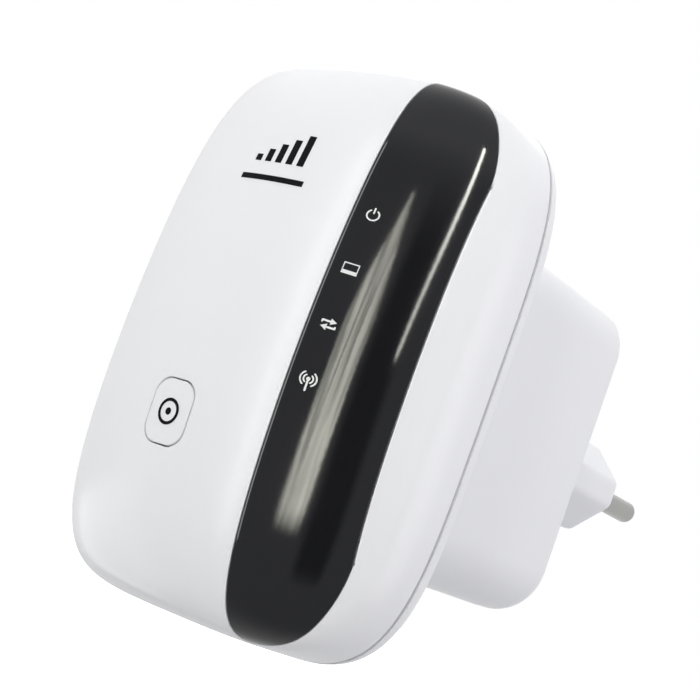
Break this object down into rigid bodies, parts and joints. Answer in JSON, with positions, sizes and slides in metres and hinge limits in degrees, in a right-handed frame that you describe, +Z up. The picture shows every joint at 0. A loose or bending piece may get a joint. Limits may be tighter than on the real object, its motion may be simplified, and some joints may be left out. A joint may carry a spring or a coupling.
{
  "type": "wifi range extender",
  "caption": "Plug-in wifi range extender: rounded white case with a glossy indicator window, a pairing button, a side network socket and a round-pin wall plug.",
  "frame": {"origin": "centre of the plug's end face, where the plug meets the socket's floor", "axes": "+Y along the pins into the wall, -Y out of the front, +Z up, +X to the right as seen from the front"},
  "size_m": [0.064, 0.1049, 0.0876],
  "materials": {
    "case_white": "white moulded ABS, satin gloss",
    "window_black": "piano-black smoked plastic, high gloss",
    "clear_plastic": "clear moulded plastic",
    "pin_metal": "nickel-plated, polished",
    "sleeve_black": "moulded sleeve, matt",
    "board_green": "glass-fibre board with solder resist",
    "chip_black": "moulded epoxy, matt",
    "tin": "tin-plated sheet",
    "gold": "plated contact metal",
    "ferrite": "ground ferrite, matt",
    "coil_tape": "yellow polyester tape",
    "capacitor_film": "shrink film",
    "led_lens": "diffusing resin"
  },
  "bodies": {
    "housing": {"antenna_lower": "tin", "antenna_upper": "tin", "board_link": "chip_black", "board_screw_lower": "tin", "board_screw_upper": "tin", "bridge_rectifier": "chip_black", "contact_left": "gold", "contact_right": "gold", "crystal": "tin", "ethernet_jack": "tin", "flash_chip": "chip_black", "front_shell": "case_white", "fuse_resistor": "coil_tape", "indicator_window": "window_black", "jack_contacts": "gold", "led_1": "led_lens", "led_2": "led_lens", "led_3": "led_lens", "led_4": "led_lens", "light_guide": "clear_plastic", "main_board": "board_green", "mains_capacitor": "capacitor_film", "network_transformer": "chip_black", "output_capacitor": "capacitor_film", "pairing_switch": "chip_black", "pin_left": "pin_metal", "pin_right": "pin_metal", "pin_sleeve_left": "sleeve_black", "pin_sleeve_right": "sleeve_black", "power_board": "board_green", "processor": "chip_black", "radio_shield": "tin", "rear_shell": "case_white", "reset_switch": "chip_black", "transformer_coil": "coil_tape", "transformer_core": "ferrite"},
    "pairing_key": {"pairing_button": "case_white", "pairing_plunger": "chip_black"},
    "reset_key": {"reset_plunger": "sleeve_black"}
  },
  "joints": [
    {"name": "pairing_press", "type": "slide", "parent": "housing", "child": "pairing_key", "axis": [0, 1, 0], "range_m": [0, 0.0006], "stiffness_N_per_m": 2500},
    {"name": "reset_press", "type": "slide", "parent": "housing", "child": "reset_key", "axis": [1, 0, 0], "range_m": [0, 0.0004], "stiffness_N_per_m": 3000}
  ]
}
